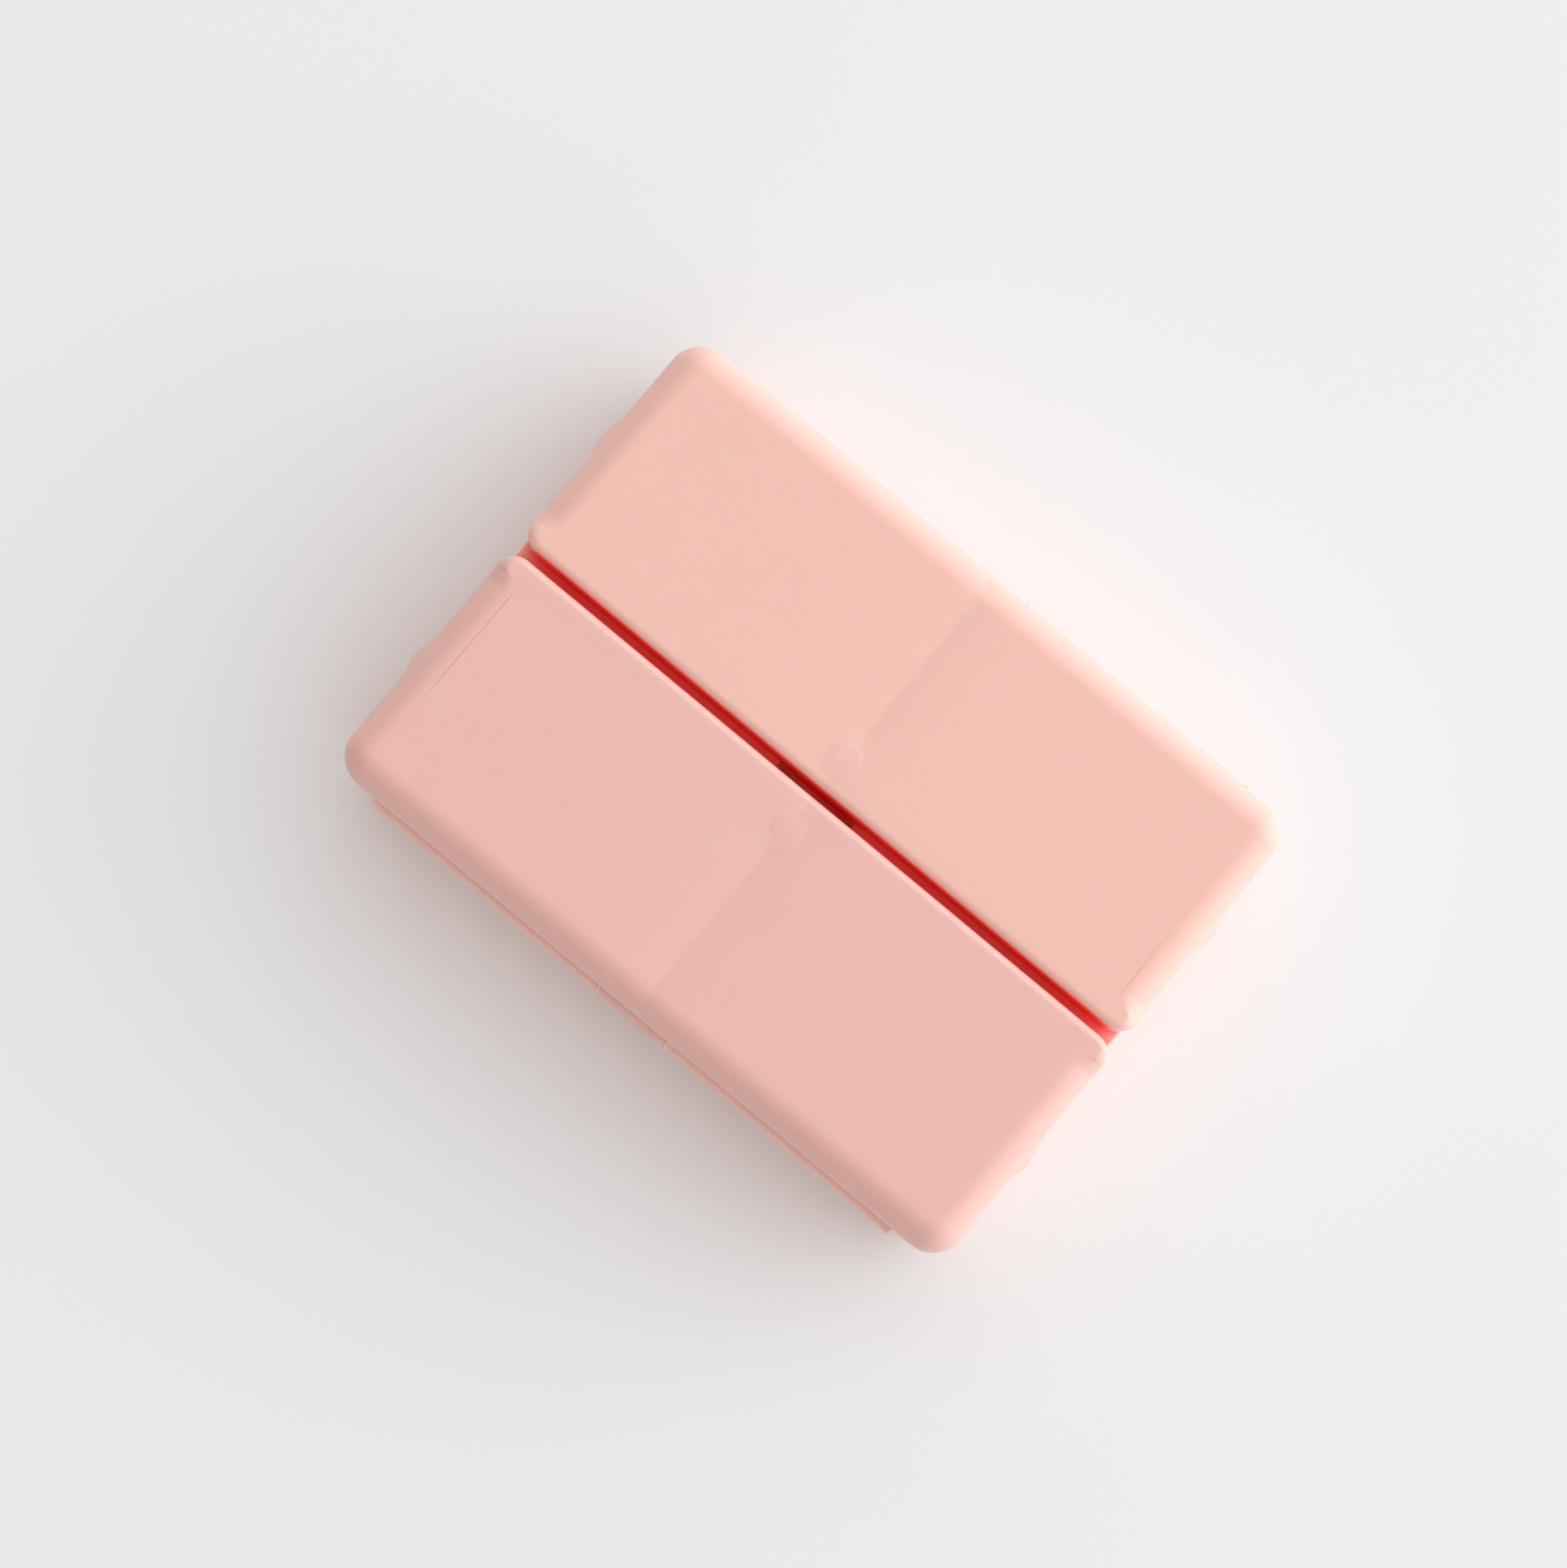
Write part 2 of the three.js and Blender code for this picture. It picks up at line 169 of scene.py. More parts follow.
def fillPatch(verts, faces, sideCounts, start):
    # a grid between the four sides of one ring, blended so that its columns stay straight
    total = sum(sideCounts)
    firsts = np.cumsum([0, *sideCounts[:3]])
    across, up = sideCounts[0], sideCounts[1]

    def ring(side, k):
        return start + (firsts[side] + k) % total

    def place(index):
        return np.array(verts[index])

    lowLeft, lowRight = place(ring(0, 0)), place(ring(1, 0))
    highRight, highLeft = place(ring(2, 0)), place(ring(3, 0))
    spanX = max(1e-9, lowRight[0] - lowLeft[0])
    spanY = max(1e-9, highLeft[1] - lowLeft[1])
    grid = {}
    for i in range(across + 1):
        grid[i, 0] = ring(0, i)
        grid[i, up] = ring(2, across - i) if i else ring(3, 0)
    for j in range(up + 1):
        grid[across, j] = ring(1, j)
        grid[0, j] = ring(3, up - j)
    for i in range(1, across):
        bottom, top = place(grid[i, 0]), place(grid[i, up])
        u = (bottom[0] + top[0] - lowLeft[0] - highLeft[0]) / 2 / spanX
        for j in range(1, up):
            left, right = place(grid[0, j]), place(grid[across, j])
            v = (left[1] + right[1] - lowLeft[1] - lowRight[1]) / 2 / spanY
            ruled = (1 - v) * bottom + v * top + (1 - u) * left + u * right
            lowPart = (1 - u) * lowLeft + u * lowRight
            highPart = (1 - u) * highLeft + u * highRight
            grid[i, j] = len(verts)
            verts.append(tuple(ruled - ((1 - v) * lowPart + v * highPart)))
    for i in range(across):
        for j in range(up):
            faces.append((grid[i, j], grid[i + 1, j], grid[i + 1, j + 1], grid[i, j + 1]))


def meshPiece(name, verts, faces):
    mesh = bpy.data.meshes.new(name)
    mesh.from_pydata([Vector(v) * mm for v in verts], [], [tuple(int(i) for i in f) for f in faces])
    work = bmesh.new()
    work.from_mesh(mesh)
    bmesh.ops.remove_doubles(work, verts=work.verts, dist=1e-7)
    bmesh.ops.recalc_face_normals(work, faces=work.faces)
    work.to_mesh(mesh)
    work.free()
    piece = bpy.data.objects.new(name, mesh)
    bpy.context.scene.collection.objects.link(piece)
    return piece


def lathe(name, profile, centre=(0, 0, 0), axis="Z", around=48):
    # profile is (radius, place along the axis), from one end of the axis to the other
    verts, faces, rings = [], [], []
    for radius, along in profile:
        if radius < 1e-6:
            rings.append([len(verts)] * around)
            verts.append((0, 0, along))
            continue
        rings.append(list(range(len(verts), len(verts) + around)))
        for k in range(around):
            t = 2 * math.pi * k / around
            verts.append((radius * math.cos(t), radius * math.sin(t), along))
    for lower, upper in zip(rings, rings[1:]):
        for k in range(around):
            n = (k + 1) % around
            corners = [lower[k], lower[n], upper[n], upper[k]]
            faces.append(tuple(dict.fromkeys(corners)))
    order = {"X": (2, 0, 1), "Y": (1, 2, 0), "Z": (0, 1, 2)}[axis]
    placed = [tuple(np.add([v[i] for i in order], centre)) for v in verts]
    return meshPiece(name, placed, faces)


def roundBar(name, radius, start, end, centre, axis="X", edge=0.12, around=48):
    profile = [(0, start)]
    profile += [(radius - edge + a, start + edge + b) for a, b in arc(0, 0, edge, -90, 0, 3)]
    profile += [(radius - edge + a, end - edge + b) for a, b in arc(0, 0, edge, 0, 90, 3)]
    profile.append((0, end))
    return lathe(name, profile, centre, axis, around)


def combine(piece, tools, how):
    for tool in tools:
        modifier = piece.modifiers.new(how, "BOOLEAN")
        modifier.operation = how
        modifier.solver = "EXACT"
        modifier.object = tool
        settle(piece)
        weld(piece)
        bpy.data.objects.remove(tool)
    return piece


def settle(piece):
    graph = bpy.context.evaluated_depsgraph_get()
    made = bpy.data.meshes.new_from_object(piece.evaluated_get(graph))
    piece.modifiers.clear()
    piece.data = made


def weld(piece):
    # joins the near-double points that a boolean leaves along a cut
    work = bmesh.new()
    work.from_mesh(piece.data)
    bmesh.ops.remove_doubles(work, verts=work.verts, dist=0.002 * mm)
    bmesh.ops.dissolve_degenerate(work, edges=work.edges, dist=0.001 * mm)
    work.to_mesh(piece.data)
    work.free()


def turnedCopy(piece, name):
    copy = bpy.data.objects.new(name, piece.data.copy())
    copy.data.transform(halfTurn)
    bpy.context.scene.collection.objects.link(copy)
    return copy


def dress(piece, material, body, replaced=(), creaseDeg=38):
    mesh = piece.data
    mesh.materials.clear()
    mesh.materials.append(material)
    for face in mesh.polygons:
        face.use_smooth = True
        face.material_index = 0
    mesh.set_sharp_from_angle(angle=math.radians(creaseDeg))
    even = piece.modifiers.new("even shading", "WEIGHTED_NORMAL")
    even.keep_sharp = True
    settle(piece)
    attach(piece, body)
    if replaced:
        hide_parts(*replaced)
    return piece


# camera: nearly overhead, the box turned on the table

camera = {
    "azimuth": 8.5,          # degrees round from the near side
    "elevation": 83.8,
    "roll": 31.26,
    "distance": 374.6,       # mm from the aim
    "aimX": -3.78,           # mm, the place on the lids that it aims at
    "aimY": -1.87,
    "lens": 71.74,           # mm
    "sensor": 36,
}

azimuth, elevation = math.radians(camera["azimuth"]), math.radians(camera["elevation"])
level = math.cos(elevation)
back = Vector((math.sin(azimuth) * level, -math.cos(azimuth) * level, math.sin(elevation)))
levelRight = Vector((math.cos(azimuth), math.sin(azimuth), 0))
levelUp = back.cross(levelRight)
roll = math.radians(camera["roll"])
right = levelRight * math.cos(roll) + levelUp * math.sin(roll)
up = levelUp * math.cos(roll) - levelRight * math.sin(roll)
aim = Vector((camera["aimX"] * mm, camera["aimY"] * mm, cadHigh.z))

cameraData = bpy.data.cameras.new("camera")
cameraData.lens = camera["lens"]
cameraData.sensor_width = camera["sensor"]
cameraData.clip_start, cameraData.clip_end = 0.01, 20
cameraObject = bpy.data.objects.new("camera", cameraData)
bpy.context.scene.collection.objects.link(cameraObject)
turn = Matrix((right, up, back)).transposed().to_4x4()
cameraObject.matrix_world = Matrix.Translation(aim + back * camera["distance"] * mm) @ turn
bpy.context.scene.camera = cameraObject
print("camera placed")


# materials

def newMaterial(name):
    material = bpy.data.materials.new(name)
    material.use_nodes = True
    tree = material.node_tree
    tree.nodes.clear()
    shader = addNode(tree, "ShaderNodeBsdfPrincipled")
    addNode(tree, "ShaderNodeOutputMaterial", links={"Surface": shader.outputs["BSDF"]})
    place = addNode(tree, "ShaderNodeTexCoord").outputs["Object"]
    return material, tree, shader, place


# Polypropylene, injection moulded in a spark-eroded tool: a soft satin skin whose fine even grain breaks
# up highlights. Light sinks about half a millimetre in. Narrow gaps are painted a deeper red, a painted
# glow of light bounced between their walls.
mouldedPlastic = {
    "colour": "#f9cbc0",
    "cloudColour": "#faccc1",     # slow cloudy drift of the pigment
    "paintedGapGlow": "#fe564a",      # painted glow: the red of light bounced many times in narrow gaps, painted on as colour
    "paintedGlowReach": 5.0,             # mm, how wide a gap still counts as narrow
    "paintedGlowStarts": 12.0,           # mm up, the painted glow is full strength from here: daylight reaches a gap from above
    "paintedGlowFades": 7.0,             # and none below here
    "cloudSize": 14.0,            # mm
    "grainSize": 0.22,            # the real grain is near 0.05 mm, drawn coarser so that it shows
    "grainHeight": 0.004,
    "waveSize": 5.0,              # long flow waves of a moulded face
    "waveHeight": 0.012,
    "roughness": 0.5,
    "ior": 1.49,
    "depth": (1.0, 0.5, 0.4),     # how far red, green and blue travel, as shares of depthMm
    "depthMm": 0.5,
}


def makeMouldedPlastic(name, settings):
    material, tree, shader, place = newMaterial(name)
    cloud = addNode(tree, "ShaderNodeTexNoise", {"Scale": perMetre(settings["cloudSize"]), "Detail": 2.0},
                    {"Vector": place})
    tint = addNode(tree, "ShaderNodeMix", {"data_type": "RGBA"}, {"Factor": cloud.outputs["Fac"]})
    tint.inputs[6].default_value = linearColour(settings["colour"])
    tint.inputs[7].default_value = linearColour(settings["cloudColour"])
    skin = tint.outputs[2]
    # painted glow: where ambient occlusion finds a narrow gap, the colour is painted deep red, and none is
    # painted low down
    if "paintedGapGlow" in settings:
        shelter = addNode(tree, "ShaderNodeAmbientOcclusion",
                          {"samples": 8, "Distance": settings["paintedGlowReach"] * mm})
        exposed = addNode(tree, "ShaderNodeMapRange",
                          {"interpolation_type": "SMOOTHSTEP", "From Min": 0.08, "From Max": 0.8},
                          {"Value": shelter.outputs["AO"]})
        height = addNode(tree, "ShaderNodeSeparateXYZ", links={0: place}).outputs["Z"]
        low = addNode(tree, "ShaderNodeMapRange",
                      {"From Min": settings["paintedGlowFades"] * mm, "From Max": settings["paintedGlowStarts"] * mm,
                       "To Min": 1.0, "To Max": 0.0}, {"Value": height})
        bare = addNode(tree, "ShaderNodeMath", {"operation": "MAXIMUM"},
                       {0: exposed.outputs["Result"], 1: low.outputs["Result"]})
        deep = addNode(tree, "ShaderNodeMix", {"data_type": "RGBA"}, {"Factor": bare.outputs["Value"]})
        deep.inputs[6].default_value = linearColour(settings["paintedGapGlow"])
        tree.links.new(skin, deep.inputs[7])
        skin = deep.outputs[2]
    tree.links.new(skin, shader.inputs["Base Color"])
    grain = addNode(tree, "ShaderNodeTexNoise", {"Scale": perMetre(settings["grainSize"]), "Detail": 3.0},
                    {"Vector": place})
    wave = addNode(tree, "ShaderNodeTexNoise", {"Scale": perMetre(settings["waveSize"]), "Detail": 1.0},
                   {"Vector": place})
    waveBump = addNode(tree, "ShaderNodeBump",
                       {"Strength": 1.0, "Distance": settings["waveHeight"] * mm},
                       {"Height": wave.outputs["Fac"]})
    grainBump = addNode(tree, "ShaderNodeBump",
                        {"Strength": 1.0, "Distance": settings["grainHeight"] * mm},
                        {"Height": grain.outputs["Fac"], "Normal": waveBump.outputs["Normal"]})
    tree.links.new(grainBump.outputs["Normal"], shader.inputs["Normal"])
    rough = addNode(tree, "ShaderNodeMapRange",
                    {"To Min": settings["roughness"] - 0.05, "To Max": settings["roughness"] + 0.05},
                    {"Value": grain.outputs["Fac"]})
    tree.links.new(rough.outputs["Result"], shader.inputs["Roughness"])
    shader.inputs["IOR"].default_value = settings["ior"]
    shader.inputs["Subsurface Weight"].default_value = 1.0
    shader.inputs["Subsurface Radius"].default_value = settings["depth"]
    shader.inputs["Subsurface Scale"].default_value = settings["depthMm"] * mm
    return material


pinkPlastic = makeMouldedPlastic("polypropylene, injection moulded", mouldedPlastic)
# the near lid is drawn a shade darker and pinker than the far lid: painted shade on a copy of the same
# plastic
nearLidPaintedShade = {"colour": "#eec5bc", "cloudColour": "#efc6bd"}
shadedNearLidPlastic = makeMouldedPlastic("polypropylene, injection moulded, near lid, painted shade",
                                    {**mouldedPlastic, **nearLidPaintedShade})

# Silicone rubber, press moulded: a dry, soft skin with a dusty bloom and deep, even translucency.
siliconeSkins = {
    "pink": {"colour": "#f2cdc4", "cloudColour": "#f4d2ca", "depthMm": 2.2},
    "white": {"colour": "#f1e8e2", "cloudColour": "#f4eee9", "depthMm": 2.6},
}
pressMoulded = {
    "cloudSize": 9.0,
    "grainSize": 0.35,            # the dusty bloom, drawn coarser so that it shows
    "grainHeight": 0.005,
    "waveSize": 4.0,
    "waveHeight": 0.02,
    "roughness": 0.62,
    "ior": 1.41,
    "depth": (1.0, 0.6, 0.5),
}
pinkSilicone = makeMouldedPlastic("silicone, press moulded, pink",
                                  {**pressMoulded, **siliconeSkins["pink"]})
whiteSilicone = makeMouldedPlastic("silicone, press moulded, white",
                                   {**pressMoulded, **siliconeSkins["white"]})

# Thermoplastic rubber, moulded: milky and satin.
footRubber = makeMouldedPlastic(
    "thermoplastic rubber, moulded",
    {**pressMoulded, "colour": "#ded5cf", "cloudColour": "#e4ddd8", "depthMm": 2.0, "roughness": 0.45},
)


def makeMetal(name, colour, roughness, lineSize, squash, lineDepth=0.002):
    material, tree, shader, place = newMaterial(name)
    stretch = addNode(tree, "ShaderNodeMapping", {"Scale": squash}, {"Vector": place})
    lines = addNode(tree, "ShaderNodeTexNoise", {"Scale": perMetre(lineSize), "Detail": 3.0},
                    {"Vector": stretch.outputs["Vector"]})
    rough = addNode(tree, "ShaderNodeMapRange", {"To Min": roughness - 0.06, "To Max": roughness + 0.08},
                    {"Value": lines.outputs["Fac"]})
    tree.links.new(rough.outputs["Result"], shader.inputs["Roughness"])
    bump = addNode(tree, "ShaderNodeBump", {"Strength": 0.6, "Distance": lineDepth * mm},
                   {"Height": lines.outputs["Fac"]})
    tree.links.new(bump.outputs["Normal"], shader.inputs["Normal"])
    shader.inputs["Base Color"].default_value = linearColour(colour)
    shader.inputs["Metallic"].default_value = 1.0
    return material


# Spring steel wire, drawn: fine lines along the wire stretch its highlights. They are drawn 0.12 mm apart,
# coarser than real ones, so that they show.
drawnSteel = makeMetal("spring steel, drawn", colour="#b9babd", roughness=0.32, lineSize=0.12,
                       squash=(0.08, 1.0, 1.0))
# Nickel, plated over a sintered magnet: bright, with a faint pebbling, drawn coarser so that it shows.
nickelPlate = makeMetal("nickel, plated", colour="#cdcac3", roughness=0.16, lineSize=0.3,
                        squash=(1.0, 1.0, 1.0))
print("materials made")


# lids

hinge = next(j for j in frame["joints"] if j["name"] == "far_lid_hinge")
hingeY, hingeZ = hinge["pos_m"][1] / mm, hinge["pos_m"][2] / mm
hingeCentre = (0, hingeY, hingeZ)
lidLow, lidHigh = boxMm("far_lid_shell")
boxLow, boxHigh = boxMm("box_shell")
knuckle = {
    "radius": 1.5,
    "flangeRadius": 1.6,       # raised ring at each end of the box's bars
    "flangeLength": 0.6,
    "flangeEdge": 0.22,
    "flangeSlope": 0.3,
    "bore": 0.9,
    "lidHalf": 4.7,            # half the length of the lid's own block
    "lidEdge": 0.18,
    "inner": 5.0,              # the box's bars start here
    "outer": 40.5,             # and end here
    "clearance": 0.35,
    "rimRelief": 1.15,         # radius of the cut that lets the lid's corners turn
}
lid = {
    "tabReach": 0.9,           # reserved for the finger tab beyond each end wall
    "tabSwell": 0.7,           # how far the tab swells out of the wall
    "tabHalf": 3.6,
    "tabLow": 17.0,            # the swelling fades from here
    "tabHigh": 19.2,           # to here
    "wall": 1.6,
    "top": 2.0,
    "outerEdge": 3.8,          # radius of the three outer top edges
    "meetingEdge": 1.0,        # and of the edge beside the other lid
    "edgeStarts": 0.15,        # mm from that edge, where the radius starts to grow
    "edgeFull": 4.6,           # and where it is full
    "outerCorner": 4.3,
    "meetingCorner": 3.0,
    "pastHinge": 0.65,         # how far the long wall stands outside the hinge line
    "rim": 15.6,
    "notchRim": 17.3,          # where the wall clears the box's knuckles
    "magnetY": 5.5,
    "sinkDepth": 0.3,          # sink mark along the rib under the top
    "sinkLong": 5.0,           # it fades slowly on the left of the rib
    "sinkShort": 3.0,
    "ringRadius": 2.3,         # sink mark round the magnet boss
    "ringDepth": 0.09,
    "ringWidth": 0.55,
    "ringClear": 1.2,          # how far past the ring the rib's mark returns to full depth
    "ringShare": 0.45,         # and how much of it is left inside the ring
    "lip": 0.25,               # rounding of the rim
    "sinkReach": 2.2,          # the marks sink the surface down to this far under the top
    "ribHalf": 0.6,
    "ribCorner": 0.3,
    "ribEdge": 0.15,
    "ribBottom": 17.3,
    "ribRoot": 1.4,            # how far under the lid's top it ends, inside the wall
    "bossRadius": 2.9,
    "bossBottom": 17.1,
    "bossRoot": 1.3,
    "pocketRadius": 2.2,
    "pocketBottom": 16.5,
    "pocketTop": 19.3,
}
magnetCentre = (0, lid["magnetY"], 0)
sharp = 0.01                   # edge radius of a cutting bar that should leave a crisp edge
lidTop = lidHigh.z
lidHalf = lidHigh.x - lid["tabReach"]
lidNear = lidLow.y
lidFar = hingeY + lid["pastHinge"]


def fade(value, low, high):
    t = np.clip((value - low) / (high - low), 0, 1)
    return t * t * (3 - 2 * t)


def sink(x, y, slowSide):
    # how far the marks over the rib and the boss lower the top; the rib's fades slowly towards slowSide
    reach = lid["sinkLong"] if x * slowSide > 0 else lid["sinkShort"]
    ribbed = math.exp(-abs(x) / reach) * lid["sinkDepth"]
    fromBoss = math.hypot(x, y - lid["magnetY"])
    clear = fade(fromBoss, lid["ringRadius"], lid["ringRadius"] + lid["ringClear"])
    ring = math.exp(-(((fromBoss - lid["ringRadius"]) / lid["ringWidth"]) ** 2)) * lid["ringDepth"]
    return ribbed * (lid["ringShare"] + (1 - lid["ringShare"]) * clear) + ring


def swellAt(swell, height):
    # the tab's swelling at a height up the end wall
    return swell * (1 - fade(height, lid["tabLow"], lid["tabHigh"]))


def makeLid(name, slowSide):
    # the rim steps up over the box's knuckles, within a short stretch at each end
    notchEnds = [knuckle["lidHalf"] + 0.02, knuckle["lidHalf"] + 0.16,
                 knuckle["outer"] + 0.16, knuckle["outer"] + 0.3]
    fineX = [s * x for s in (-1, 1) for x in (*notchEnds, *np.arange(0.25, 4.3, 0.25))] + [0.0]
    fineY = list(np.arange(lidNear + 4.3, lid["magnetY"] + 4.2, 0.3))
    sides = roundedOutline(
        -lidHalf, lidHalf, lidNear, lidFar,
        (lid["meetingCorner"], lid["meetingCorner"], lid["outerCorner"], lid["outerCorner"]),
        step=1.6, extraX=fineX, extraY=fineY, halfArc=8,
    )
    points, _ = ringOf(sides)
    fullEdge = fade(points[:, 1] - lidNear, lid["edgeStarts"], lid["edgeFull"])
    edge = lid["meetingEdge"] + (lid["outerEdge"] - lid["meetingEdge"]) * fullEdge
    onHingeSide = points[:, 1] > lidFar - 0.01
    atX = np.abs(points[:, 0])
    overKnuckle = fade(atX, notchEnds[0], notchEnds[1]) * (1 - fade(atX, notchEnds[2], notchEnds[3]))
    rim = lid["rim"] + (lid["notchRim"] - lid["rim"]) * overKnuckle * onHingeSide
    fromTab = np.abs(points[:, 1] - (lidNear + lidFar) / 2) / lid["tabHalf"]
    swell = lid["tabSwell"] * (1 - fade(fromTab, 0.3, 1.0)) * (atX > lidHalf - 0.01)
    ceiling = lidTop - lid["top"]
    lip, wall = lid["lip"], lid["wall"]
    quarter = np.radians([0, 30, 60, 90])
    steps = [(wall + 0.6, ceiling), (wall + 0.18, ceiling - 0.05), (wall, ceiling - 0.45)]
    steps.append((wall, rim + lip + 0.2))
    steps += [(wall - lip * (1 - math.cos(t)), rim + lip * (1 - math.sin(t))) for t in quarter]
    steps += [(lip * (1 - math.sin(t)) - swell, rim + lip * (1 - math.cos(t))) for t in quarter]
    wallTop = lidTop - edge
    for share in (0.15, 0.3, 0.45, 0.6, 0.8, 1.0):
        height = rim + lip + (wallTop - rim - lip) * share
        steps.append((-swellAt(swell, height), height))
    for t in np.radians(np.linspace(0, 90, 13)[1:]):
        height = lidTop - edge * (1 - math.sin(t))
        steps.append((edge * (1 - math.cos(t)) - swellAt(swell, height), height))
    steps.append((edge + 0.35, lidTop))
    piece = ringLoft(name, sides, steps)
    for v in piece.data.vertices:
        x, y, z = v.co / mm
        if z > lidTop - lid["sinkReach"]:
            level = fade(z, lidTop - lid["sinkReach"], lidTop - 0.2)
            v.co.z -= sink(x, y, slowSide) * level * mm
    return piece


def lidFittings():
    half = knuckle["lidHalf"]
    block = roundBar("lid knuckle", knuckle["radius"], -half, half, hingeCentre, edge=knuckle["lidEdge"])
    ribHalf, inWall = lid["ribHalf"], lid["wall"] / 2
    ribOutline = roundedOutline(-ribHalf, ribHalf, lidNear + inWall, lidFar - inWall,
                                (lid["ribCorner"],) * 4, step=2)
    rib = roundedSlab("rib", ribOutline, lid["ribBottom"], lidTop - lid["ribRoot"], lid["ribEdge"])
    boss = roundBar("boss", lid["bossRadius"], lid["bossBottom"], lidTop - lid["bossRoot"], magnetCentre,
                    axis="Z")
    return [block, rib, boss]


def roundedSlab(name, outline, bottom, top, edge, topEdge=None):
    topEdge = edge if topEdge is None else topEdge
    turns = np.radians(np.linspace(0, 90, 5))
    steps = [(edge + 0.08, bottom)]
    steps += [(edge * (1 - math.sin(t)), bottom + edge * (1 - math.cos(t))) for t in turns]
    steps += [(topEdge * (1 - math.cos(t)), top - topEdge * (1 - math.sin(t))) for t in turns]
    steps.append((topEdge + 0.08, top))
    return ringLoft(name, outline, steps)


def finishedLid(name, slowSide):
    piece = makeLid(name, slowSide)
    combine(piece, lidFittings(), "UNION")
    bore = roundBar("bore", knuckle["bore"], -knuckle["inner"], knuckle["inner"], hingeCentre, edge=sharp)
    pocket = roundBar("pocket", lid["pocketRadius"], lid["pocketBottom"], lid["pocketTop"], magnetCentre,
                      axis="Z", edge=sharp)
    return combine(piece, [bore, pocket], "DIFFERENCE")


farLid = finishedLid("far_lid", -1)
unturned = finishedLid("unturned", 1)      # its slow side comes to the left once it is turned round
nearLid = turnedCopy(unturned, "near_lid")
bpy.data.objects.remove(unturned)
dress(farLid, pinkPlastic, "far_lid", ["far_lid_shell"])
dress(nearLid, shadedNearLidPlastic, "near_lid", ["near_lid_shell"])
print("lids made:", len(farLid.data.polygons), "faces each")


# box shell

shell = {
    "halfLength": boxHigh.x,
    "halfWidth": boxHigh.y - knuckle["flangeRadius"] + 0.2,
    "wall": 1.8,
    "floor": 1.8,
    "corner": 4.2,
    "bottomEdge": 2.0,
    "rimEdge": 0.35,
    "bayNear": 1.2,
    "bayCorner": 2.4,
    "bayEdge": 0.8,            # rounding at the foot of each bay
    "bayFlare": 0.24,          # chamfer round its mouth
    "dipRadius": 6.3,          # round dip in the middle wall
    "dipDepth": 4.3,
    "postHalf": 3.4,
    "postStart": 0.9,
    "postEnd": 8.7,
    "postBase": 0.6,           # how deep in the floor it starts
    "postTop": 14.9,
    "postCorners": (0.5, 0.5, 2.5, 2.5),
    "postEdge": 0.1,
    "postTopEdge": 0.4,
    "seatRadius": 2.7,
    "seatDepth": 0.8,
    "holeRadius": 2.2,
    "holeBottom": 12.3,
    "footClear": 0.2,          # round each foot in its seat
    "footRoom": 0.3,           # and above it
    "draft": 0.35,             # how far the sides lean in towards the foot
}
lidGap = 0.3                   # between the box's rim and a closed lid
rimZ = lid["rim"] - lidGap
floorZ = boxLow.z + shell["floor"]
bayHalf = shell["halfLength"] - shell["wall"]
bayFar = shell["halfWidth"] - shell["wall"]


def boxBody():
    halfLength, halfWidth, radius = shell["halfLength"], shell["halfWidth"], shell["bottomEdge"]
    outline = roundedOutline(-halfLength, halfLength, -halfWidth, halfWidth, (shell["corner"],) * 4,
                             step=4, halfArc=8)
    bottom, draft = boxLow.z, shell["draft"]
    turns = np.radians(np.linspace(0, 90, 9))
    steps = [(radius + draft + 0.6, bottom)]
    steps += [(draft + radius * (1 - math.sin(t)), bottom + radius * (1 - math.cos(t))) for t in turns]
    steps.append((draft / 2, (bottom + rimZ) / 2))
    edge = shell["rimEdge"]
    quarter = np.radians([0, 30, 60, 90])
    steps += [(edge * (1 - math.cos(t)), rimZ - edge * (1 - math.sin(t))) for t in quarter]
    steps.append((edge + 0.3, rimZ))
    return ringLoft("box", outline, steps)


def bayTool():
    outline = roundedOutline(-bayHalf, bayHalf, shell["bayNear"], bayFar, (shell["bayCorner"],) * 4,
                             step=5, halfArc=6)
    radius = shell["bayEdge"]
    turns = np.radians(np.linspace(0, 90, 5))
    steps = [(radius + 0.4, floorZ)]
    steps += [(radius * (1 - math.sin(t)), floorZ + radius * (1 - math.cos(t))) for t in turns]
    flare = shell["bayFlare"]
    steps += [(0, rimZ - 0.2), (-flare / 4, rimZ - 0.08), (-flare, rimZ + 0.12), (-flare, rimZ + 2)]
    return ringLoft("bay", outline, steps)


def knuckleBar(start, end):
    # a bar with a thin raised flange at each end, which slopes down to the bar
    small, big, width = knuckle["radius"], knuckle["flangeRadius"], knuckle["flangeLength"]
    edge, slope = knuckle["flangeEdge"], knuckle["flangeSlope"]
    quarter = np.radians([0, 30, 60, 90])
    half = [(0, 0)]
    half += [(big - edge * (1 - math.sin(t)), edge * (1 - math.cos(t))) for t in quarter]
    for s in (0, 0.25, 0.5, 0.75, 1):
        half.append((big + (small - big) * fade(s, 0, 1), width + slope * (s - 1)))
    profile = [(radius, start + along) for radius, along in half]
    profile += [(radius, end - along) for radius, along in reversed(half)]
    return lathe("knuckle", profile, hingeCentre, "X")


def bothSides(tools):
    # the tools, then their copies turned half round
    return tools + [turnedCopy(t, t.name) for t in tools]


